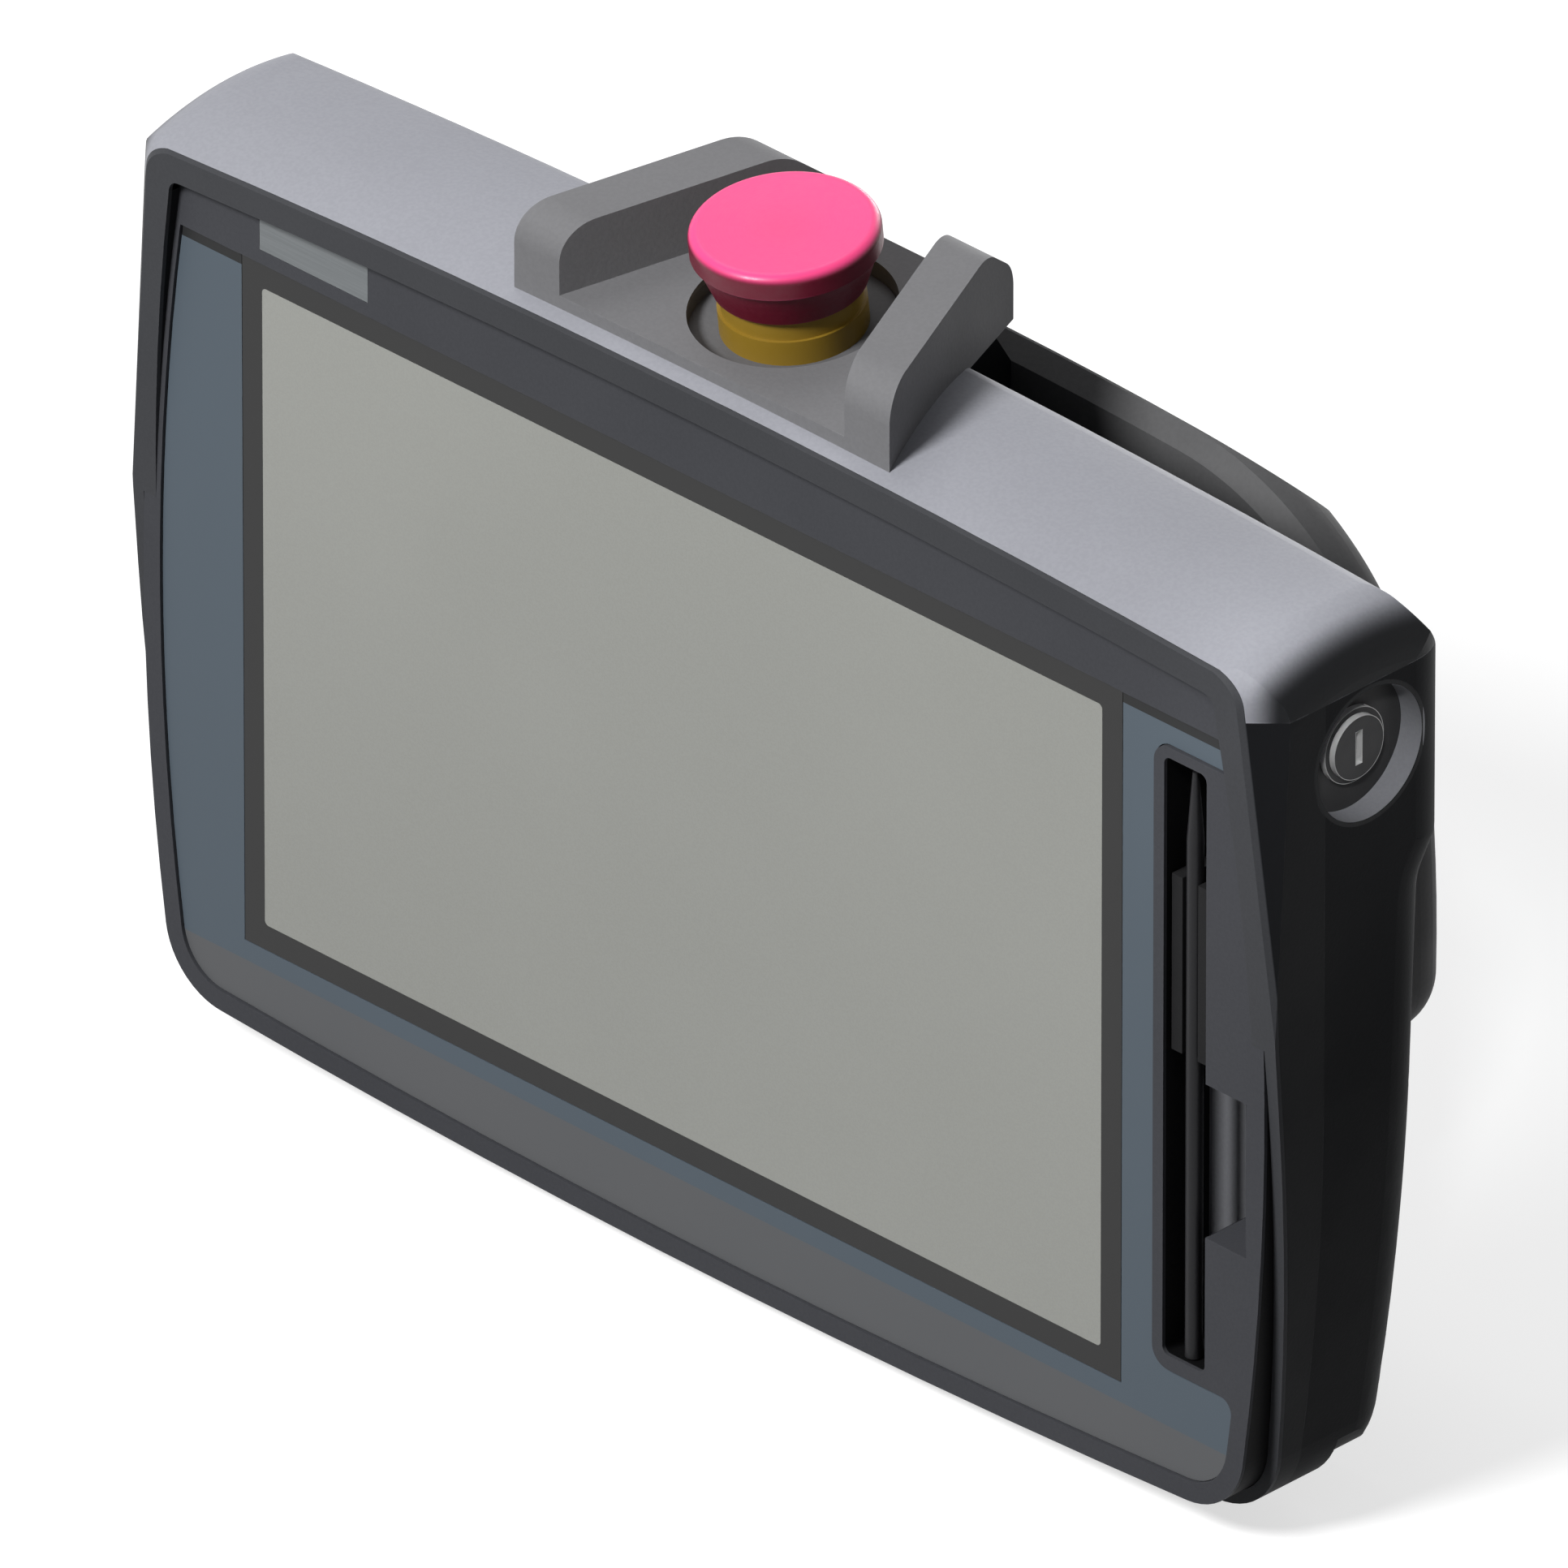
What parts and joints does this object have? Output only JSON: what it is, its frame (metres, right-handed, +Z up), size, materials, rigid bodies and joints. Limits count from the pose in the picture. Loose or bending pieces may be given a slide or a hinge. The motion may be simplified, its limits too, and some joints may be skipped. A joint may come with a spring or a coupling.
{
  "type": "handheld operator panel",
  "caption": "Handheld machine operator panel with a wide touch display, guarded mushroom stop button, side key switch, stowed stylus and a ring handle with squeeze levers behind.",
  "frame": {"origin": "centre of the footprint, at the lowest point of the housing and connection cover", "axes": "+X to the operator's right, +Y away from the operator, +Z up"},
  "size_m": [0.2964, 0.0842, 0.2177],
  "materials": {
    "frame_plastic": "fine texture",
    "plate_plastic": "fine texture",
    "shell_plastic": "fine texture",
    "dark_plastic": "fine texture",
    "guard_plastic": "fine texture",
    "handle_plastic": "fine texture",
    "film": "satin printed film",
    "label": "satin",
    "screen_glass": "anti-glare",
    "soft_rubber": "matte",
    "sheet_metal": "bare sheet",
    "display_module": "moulded",
    "circuit_board": "solder resist",
    "black_component": "moulded",
    "terminal_plastic": "moulded",
    "brass_spacer": "turned",
    "steel": "zinc plated",
    "stylus_plastic": "smooth",
    "stop_red": "satin gloss",
    "stop_yellow": "satin",
    "plunger_plastic": "moulded",
    "key_metal": "satin",
    "key_rotor_metal": "satin",
    "lever_plastic": "fine texture",
    "gland_plastic": "moulded"
  },
  "bodies": {
    "housing": {"outer_frame": "frame_plastic", "front_plate": "plate_plastic", "top_shell": "shell_plastic", "rear_shell": "dark_plastic", "connection_cover": "dark_plastic", "handle_neck": "dark_plastic", "estop_barrel": "dark_plastic", "estop_guard": "guard_plastic", "handle_frame": "handle_plastic", "handle_back": "handle_plastic", "front_film": "film", "blank_label": "label", "touch_screen": "screen_glass", "display_gasket": "soft_rubber", "cover_seal": "soft_rubber", "stylus_clips": "soft_rubber", "lcd_bracket": "sheet_metal", "lcd_module": "display_module", "main_board": "circuit_board", "terminal_board": "circuit_board", "board_chips": "black_component", "estop_contact_block": "black_component", "key_contact_block": "black_component", "enabling_switch_left": "black_component", "enabling_switch_right": "black_component", "terminal_block": "terminal_plastic", "board_standoffs": "brass_spacer", "terminal_standoffs": "brass_spacer", "board_screws": "steel", "housing_screws": "steel", "handle_screws": "steel", "cover_screws": "steel", "lever_pins": "steel", "estop_lock_nut": "steel", "key_lock_nut": "steel", "estop_spring": "steel", "estop_collar": "stop_yellow", "key_liner": "key_metal", "key_housing": "key_metal", "cable_gland": "gland_plastic", "gland_nut": "gland_plastic"},
    "stop_plunger": {"estop_plunger": "plunger_plastic"},
    "stop_cap": {"estop_cap": "stop_red"},
    "key": {"key_rotor": "key_rotor_metal"},
    "stylus": {"stylus": "stylus_plastic"},
    "lever_left": {"enabling_lever_left": "lever_plastic"},
    "lever_right": {"enabling_lever_right": "lever_plastic"}
  },
  "joints": [
    {"name": "estop_press", "type": "slide", "parent": "housing", "child": "stop_plunger", "axis": [0, 0.1219, -0.9925], "range_m": [0, 0.004], "deforming": ["estop_spring"]},
    {"name": "estop_turn", "type": "hinge", "parent": "stop_plunger", "child": "stop_cap", "pos_m": [0, -0.01415, 0.195], "axis": [0, -0.1219, 0.9925], "range_deg": [0, 40], "stiffness_Nm_per_rad": 0.02},
    {"name": "key_turn", "type": "hinge", "parent": "housing", "child": "key", "pos_m": [0.1482, -0.01426, 0.1634], "axis": [1, 0, 0], "range_deg": [0, 90]},
    {"name": "stylus_pull", "type": "slide", "parent": "housing", "child": "stylus", "axis": [0, -1, 0], "range_m": [0, 0.02]},
    {"name": "lever_left_press", "type": "hinge", "parent": "housing", "child": "lever_left", "pos_m": [-0.099, 0.03015, 0.099], "axis": [-1, 0, 0], "range_deg": [0, 4], "stiffness_Nm_per_rad": 0.25},
    {"name": "lever_right_press", "type": "hinge", "parent": "housing", "child": "lever_right", "pos_m": [0.099, 0.03015, 0.099], "axis": [-1, 0, 0], "range_deg": [0, 4], "stiffness_Nm_per_rad": 0.25}
  ]
}
